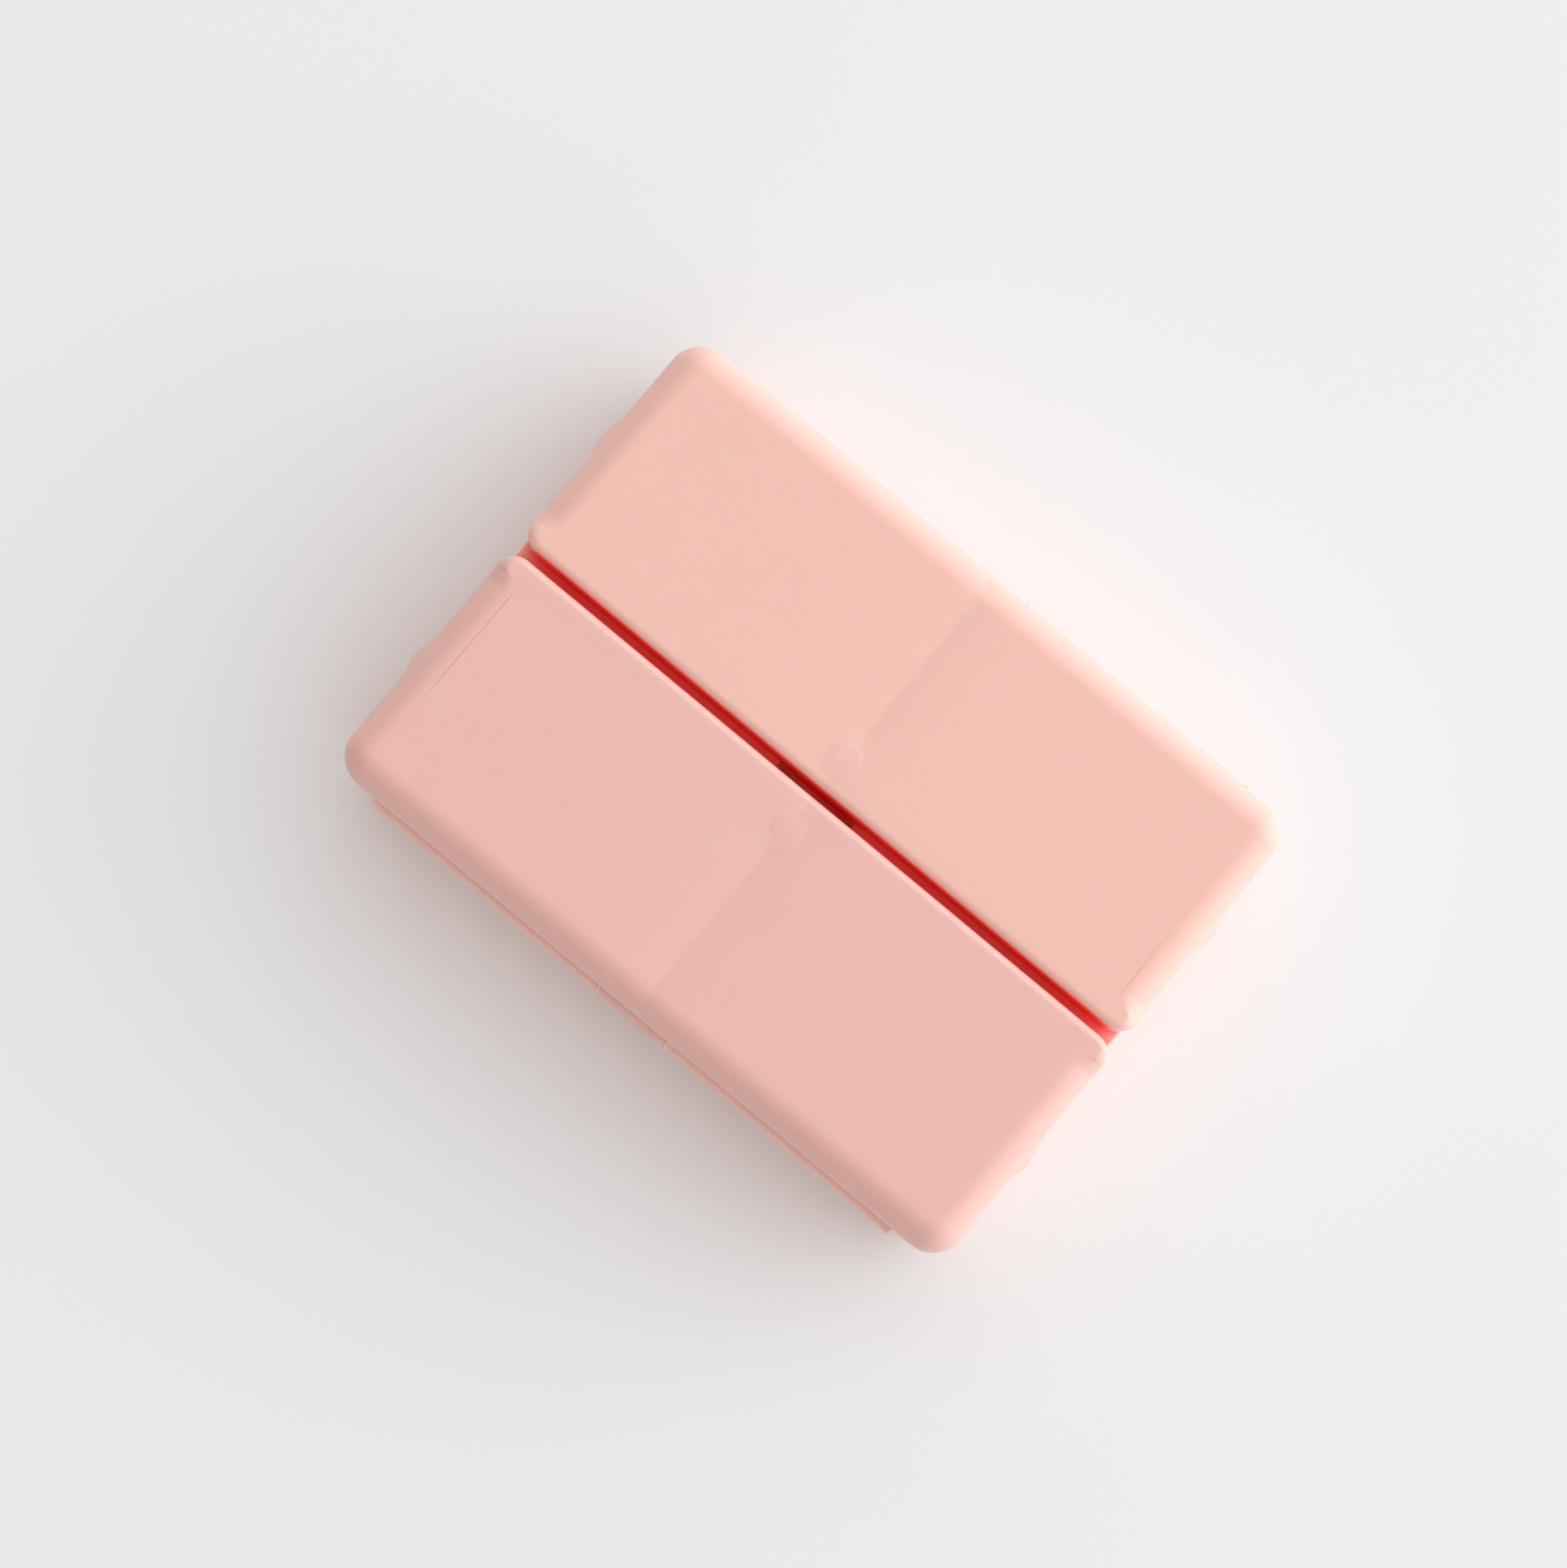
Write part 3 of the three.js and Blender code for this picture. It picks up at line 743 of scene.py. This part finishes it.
boxPiece = boxBody()
dipCentre = (0, 0, rimZ + shell["dipRadius"] - shell["dipDepth"])
dip = roundBar("dip", shell["dipRadius"], -2, 2, dipCentre, axis="Y", around=96)
combine(boxPiece, [*bothSides([bayTool()]), dip], "DIFFERENCE")
postOutline = roundedOutline(-shell["postHalf"], shell["postHalf"], shell["postStart"], shell["postEnd"],
                             shell["postCorners"], step=1.5, halfArc=6)
post = roundedSlab("post", postOutline, boxLow.z + shell["postBase"], shell["postTop"], shell["postEdge"],
                   topEdge=shell["postTopEdge"])
bars = [knuckleBar(knuckle["inner"], knuckle["outer"]), knuckleBar(-knuckle["outer"], -knuckle["inner"])]
combine(boxPiece, bothSides([post, *bars]), "UNION")
lidEnd = lidHalf + 1
cutEdge = 0.02
clearOf = 0.03                 # keeps a cut from sharing a face with a knuckle's end
roomHalf, cornerStart = knuckle["inner"] - clearOf, knuckle["outer"] + clearOf
boreHalf = knuckle["outer"] + 0.5
roomRadius = knuckle["radius"] + knuckle["clearance"]
cuts = [
    roundBar("lid knuckle room", roomRadius, -roomHalf, roomHalf, hingeCentre, edge=cutEdge),
    roundBar("right corner room", knuckle["rimRelief"], cornerStart, lidEnd, hingeCentre, edge=cutEdge),
    roundBar("left corner room", knuckle["rimRelief"], -lidEnd, -cornerStart, hingeCentre, edge=cutEdge),
    roundBar("bore", knuckle["bore"], -boreHalf, boreHalf, hingeCentre, edge=sharp),
    roundBar("cap seat", shell["seatRadius"], shell["postTop"] - shell["seatDepth"], shell["postTop"] + 1,
             magnetCentre, axis="Z", edge=cutEdge),
    roundBar("magnet hole", shell["holeRadius"], shell["holeBottom"], shell["postTop"], magnetCentre,
             axis="Z", edge=cutEdge),
]
combine(boxPiece, bothSides(cuts), "DIFFERENCE")
footTools = []
for node in ("near_left_foot", "near_right_foot", "far_left_foot", "far_right_foot"):
    low, high = boxMm(node)
    middle = (low + high) / 2
    radius = (high.x - low.x) / 2 + shell["footClear"]
    seatTop = high.z + shell["footRoom"]
    footTools.append(roundBar("seat", radius, low.z - 1, seatTop, (middle.x, middle.y, 0), axis="Z",
                              edge=0.05))
combine(boxPiece, footTools, "DIFFERENCE")
dress(boxPiece, pinkPlastic, "box", ["box_shell"])
print("box made:", len(boxPiece.data.polygons), "faces")


# liners and dividers

linerSizes = {
    "wall": 1.4,
    "corner": 3.2,
    "mouthCorner": 2.4,            # where the wall turns in beside the magnet post
    "floorEdge": 0.8,
    "rimRound": 0.68,
    "postGap": 0.2,
    "postCorner": 2.7,
    "guideReach": 1.0,             # the ribs that hold the divider
    "guideWidth": 1.0,
    "guideCorner": 0.4,
    "guideEdge": 0.3,
    "slot": 1.1,                   # half the space between two of them
}


def linerOutline(low, high):
    # a rounded oblong whose near side bends in round the magnet post
    s = linerSizes
    half, reach = shell["postHalf"] + s["postGap"], shell["postEnd"] + s["postGap"]
    mouth, deep = s["mouthCorner"], s["postCorner"]
    halfArc = 6
    atCorner = halfArc + 1         # the points at each end of a side that belong to its corner
    base = roundedOutline(low.x, high.x, low.y, high.y, (s["corner"],) * 4, step=3, halfArc=halfArc)
    straight = stations(low.x + s["corner"], high.x - s["corner"], 3)
    left = [x for x in straight if x < -half - mouth - 0.8]
    bend = cornerRun((-half - mouth, low.y + mouth), mouth, 270, 360, 6)
    bend += [((-half, y), (1, 0)) for y in np.linspace(low.y + mouth, reach - deep, 4)[1:-1]]
    inner = [((-half + deep - deep * math.cos(t), reach - deep + deep * math.sin(t)),
              (math.cos(t), -math.sin(t))) for t in np.radians(np.linspace(0, 90, 9))]
    leftHalf = [((x, low.y), (0, -1)) for x in left] + bend + inner
    rightHalf = [((-x, y), (-fx, fy)) for (x, y), (fx, fy) in reversed(leftHalf)]
    middle = [((0.0, reach), (0, -1))]
    lowSide = base[0][:atCorner] + leftHalf + middle + rightHalf + base[0][-atCorner:]
    count = len(lowSide) - 2 * atCorner
    span = np.linspace(high.x - s["corner"], low.x + s["corner"], count + 2)[1:-1]
    highSide = base[2][:atCorner] + [((x, high.y), (0, 1)) for x in span] + base[2][-atCorner:]
    return [lowSide, base[1], highSide, base[3]]


def makeLiner():
    s = linerSizes
    low, high = boxMm("far_liner")
    sides = linerOutline(low, high)
    wall, rimRound, floorTop = s["wall"], s["rimRound"], low.z + s["wall"]
    turns, deep = np.radians(np.linspace(0, 90, 7)), s["floorEdge"]
    steps = [(deep + 0.3, low.z)]
    steps += [(deep * (1 - math.sin(t)), low.z + deep * (1 - math.cos(t))) for t in turns]
    steps.append((0, high.z - rimRound - 3))
    steps += [(rimRound * (1 - math.cos(t)), high.z - rimRound * (1 - math.sin(t))) for t in turns]
    steps += [(wall - rimRound * (1 - math.sin(t)), high.z - rimRound * (1 - math.cos(t))) for t in turns]
    steps.append((wall, floorTop + deep + 3))
    steps += [(wall + deep * (1 - math.cos(t)), floorTop + deep * (1 - math.sin(t))) for t in turns]
    steps.append((wall + deep + 0.15, floorTop))
    return ringLoft("far_liner_tray", sides, steps)


def guideRibs():
    s = linerSizes
    low, high = boxMm("far_liner")
    innerFar = high.y - s["wall"]
    innerNear = shell["postEnd"] + s["postGap"] + s["wall"]
    reach, inWall = s["guideReach"], 0.5
    spans = [(innerFar - reach, innerFar + inWall), (innerNear - inWall, innerNear + reach)]
    ribs = []
    for end in (-1, 1):
        x0, x1 = sorted((end * s["slot"], end * (s["slot"] + s["guideWidth"])))
        for y0, y1 in spans:
            outline = roundedOutline(x0, x1, y0, y1, (s["guideCorner"],) * 4, step=0.6)
            ribs.append(roundedSlab("guide", outline, low.z + 1, high.z - 1, s["guideEdge"]))
    return ribs


farLiner = makeLiner()
combine(farLiner, guideRibs(), "UNION")
nearLiner = turnedCopy(farLiner, "near_liner_tray")
dress(farLiner, pinkSilicone, "box", ["far_liner"])
dress(nearLiner, pinkSilicone, "box", ["near_liner"])

divider = {"corners": (0.9, 0.9, 1.6, 1.6), "edge": 0.45}
standUp = Matrix(((0, 0, 1, 0), (1, 0, 0, 0), (0, 1, 0, 0), (0, 0, 0, 1)))
for side in ("far", "near"):
    low, high = boxMm(side + "_divider")
    outline = roundedOutline(low.y, high.y, low.z, high.z, divider["corners"], step=2, halfArc=5)
    plate = roundedSlab(side + "_divider_plate", outline, low.x, high.x, divider["edge"])
    plate.data.transform(standUp)
    dress(plate, whiteSilicone, "box", [side + "_divider"])
print("liners and dividers made")


# lid pads: a flat plug with a raised sealing bead round its underside

pad = {"corner": 2.4, "edge": 0.3, "beadWidth": 1.3, "beadRise": 0.4}
low, high = boxMm("far_lid_pad")
outline = roundedOutline(low.x, high.x, low.y, high.y, (pad["corner"],) * 4, step=3, halfArc=6)
turns = np.radians(np.linspace(0, 90, 6))
inner = pad["edge"] + pad["beadWidth"]
steps = [(inner + 0.7, low.z + pad["beadRise"])]
steps += [(inner + 0.4 * math.cos(t), low.z + pad["beadRise"] * math.cos(t) ** 2) for t in turns]
steps += [(pad["edge"] * (1 - math.sin(t)), low.z + pad["edge"] * (1 - math.cos(t))) for t in turns]
steps += [(pad["edge"] * (1 - math.cos(t)), high.z - pad["edge"] * (1 - math.sin(t))) for t in turns]
steps.append((pad["edge"] + 0.3, high.z))
farPad = ringLoft("far_pad", outline, steps)
nearPad = turnedCopy(farPad, "near_pad")
dress(farPad, whiteSilicone, "far_lid", ["far_lid_pad"])
dress(nearPad, whiteSilicone, "near_lid", ["near_lid_pad"])
print("pads made")


# small round pieces

def roundPiece(node, name, body, material, edge, axis="Z", dish=0.0):
    # a disc or bar that fills the node's box; dish is how far its end is hollowed
    low, high = boxMm(node)
    middle = (low + high) / 2
    index = "XYZ".index(axis)
    radius = (high[(index + 1) % 3] - low[(index + 1) % 3]) / 2
    start, end = low[index], high[index]
    centre = [0 if i == index else middle[i] for i in range(3)]
    turns = np.radians(np.linspace(0, 90, 5))
    profile = [(0, start)]
    profile += [(radius - edge * (1 - math.sin(t)), start + edge * (1 - math.cos(t))) for t in turns]
    profile += [(radius - edge * (1 - math.cos(t)), end - edge * (1 - math.sin(t))) for t in turns]
    if dish:
        profile += [(radius * 0.72, end), (radius * 0.6, end - dish)]
    profile.append((0, end - dish))
    piece = lathe(name, profile, centre, axis)
    return dress(piece, material, body, [node])


small = {"capEdge": 0.12, "capDish": 0.08, "magnetEdge": 0.2, "pinEdge": 0.15, "footEdge": 0.4}
for side in ("near", "far"):
    roundPiece(side + "_magnet_cap", side + "_cap", "box", pinkPlastic, small["capEdge"],
               dish=small["capDish"])
    roundPiece(side + "_box_magnet", side + "_lower_magnet", "box", nickelPlate,
               small["magnetEdge"])
    roundPiece(side + "_lid_magnet", side + "_upper_magnet", side + "_lid", nickelPlate,
               small["magnetEdge"])
    roundPiece(side + "_hinge_pin", side + "_pin", "box", drawnSteel, small["pinEdge"],
               axis="X")
    for end in ("left", "right"):
        node = f"{side}_{end}_foot"
        roundPiece(node, node + "_pad", "box", footRubber, small["footEdge"])
print("caps, magnets, pins and feet made")


# table and studio light

stage = {
    "floorSize": 6.0,            # metres
    "floorColour": "#edf1f2",
    "floorGrain": 0.8,           # mm, the thread spacing, drawn a little coarse
    "floorGrainHeight": 0.02,
    "floorRoughness": 0.9,
}
floorMesh = bpy.data.meshes.new("table")
half = stage["floorSize"] / 2
corners = [(-half, -half, 0), (half, -half, 0), (half, half, 0), (-half, half, 0)]
floorMesh.from_pydata(corners, [], [(0, 1, 2, 3)])
table = bpy.data.objects.new("table", floorMesh)
bpy.context.scene.collection.objects.link(table)

# Cotton cloth, plain woven and washed soft: matt, with a faint weave.
tableTop, tree, shader, place = newMaterial("cotton cloth, plain")
weave = addNode(tree, "ShaderNodeTexNoise", {"Scale": perMetre(stage["floorGrain"]), "Detail": 3.0},
                {"Vector": place})
weaveBump = addNode(tree, "ShaderNodeBump", {"Strength": 0.6, "Distance": stage["floorGrainHeight"] * mm},
                    {"Height": weave.outputs["Fac"]})
tree.links.new(weaveBump.outputs["Normal"], shader.inputs["Normal"])
shader.inputs["Base Color"].default_value = linearColour(stage["floorColour"])
shader.inputs["Roughness"].default_value = stage["floorRoughness"]
shader.inputs["Specular IOR Level"].default_value = 0.2
floorMesh.materials.append(tableTop)

light = {
    "skyColour": "#fbfcfe",
    "dimColour": "#ffd8c4",            # the side opposite the window is lit by a warm room
    "dimFull": 0.9,                    # how squarely a direction faces away before it is fully warm
    "skyLevel": 0.95,
    "skySwing": 1.0,                   # added towards the window and taken off opposite it
    "skyFrom": (0.6, 0.8, 0),
    "keyPower": 3.3,
    "keyWidth": 0.96,
    "keyHeight": 0.4,
    "keyColour": "#fffbf7",
    "keyFrom": (0.72, 0.69, 0.21),     # direction from the box towards the window, low over the table
    "keyDistance": 0.9,                # near enough that the far end of the box is a little dimmer
}
towards = Vector(light["keyFrom"]).normalized()
world = bpy.data.worlds.new("studio")
world.use_nodes = True
bpy.context.scene.world = world
tree = world.node_tree
sky = tree.nodes["Background"]
facing = addNode(tree, "ShaderNodeVectorMath", {"operation": "DOT_PRODUCT"},
                 {0: addNode(tree, "ShaderNodeTexCoord").outputs["Generated"]})
facing.inputs[1].default_value = light["skyFrom"]
size = addNode(tree, "ShaderNodeMath", {"operation": "ABSOLUTE"}, {0: facing.outputs["Value"]})
curve = addNode(tree, "ShaderNodeMath", {"operation": "MULTIPLY"},
                {0: facing.outputs["Value"], 1: size.outputs["Value"]})
swing = addNode(tree, "ShaderNodeMath", {"operation": "MULTIPLY_ADD"}, {0: curve.outputs["Value"]})
swing.inputs[1].default_value, swing.inputs[2].default_value = light["skySwing"], light["skyLevel"]
lit = addNode(tree, "ShaderNodeMath", {"operation": "MAXIMUM", 1: 0.0}, {0: swing.outputs["Value"]})
tree.links.new(lit.outputs["Value"], sky.inputs["Strength"])
warmth = addNode(tree, "ShaderNodeMapRange", {"From Min": 0.0, "From Max": -light["dimFull"]},
                 {"Value": facing.outputs["Value"]})
mood = addNode(tree, "ShaderNodeMix", {"data_type": "RGBA"}, {"Factor": warmth.outputs["Result"]})
mood.inputs[6].default_value = linearColour(light["skyColour"])
mood.inputs[7].default_value = linearColour(light["dimColour"])
tree.links.new(mood.outputs[2], sky.inputs["Color"])
keyData = bpy.data.lights.new("window", "AREA")
keyData.shape = "RECTANGLE"
keyData.size, keyData.size_y = light["keyWidth"], light["keyHeight"]
keyData.energy = light["keyPower"]
keyData.color = linearColour(light["keyColour"])[:3]
keyLight = bpy.data.objects.new("window", keyData)
bpy.context.scene.collection.objects.link(keyLight)
keyLight.location = towards * light["keyDistance"]
keyLight.rotation_mode = "QUATERNION"
keyLight.rotation_quaternion = towards.to_track_quat("Z", "Y")
bpy.context.scene.view_settings.view_transform = "Standard"
# the narrow gap between the lids glows only after many bounces
bpy.context.scene.cycles.diffuse_bounces = 24
bpy.context.scene.cycles.max_bounces = 32
print("stage lit")
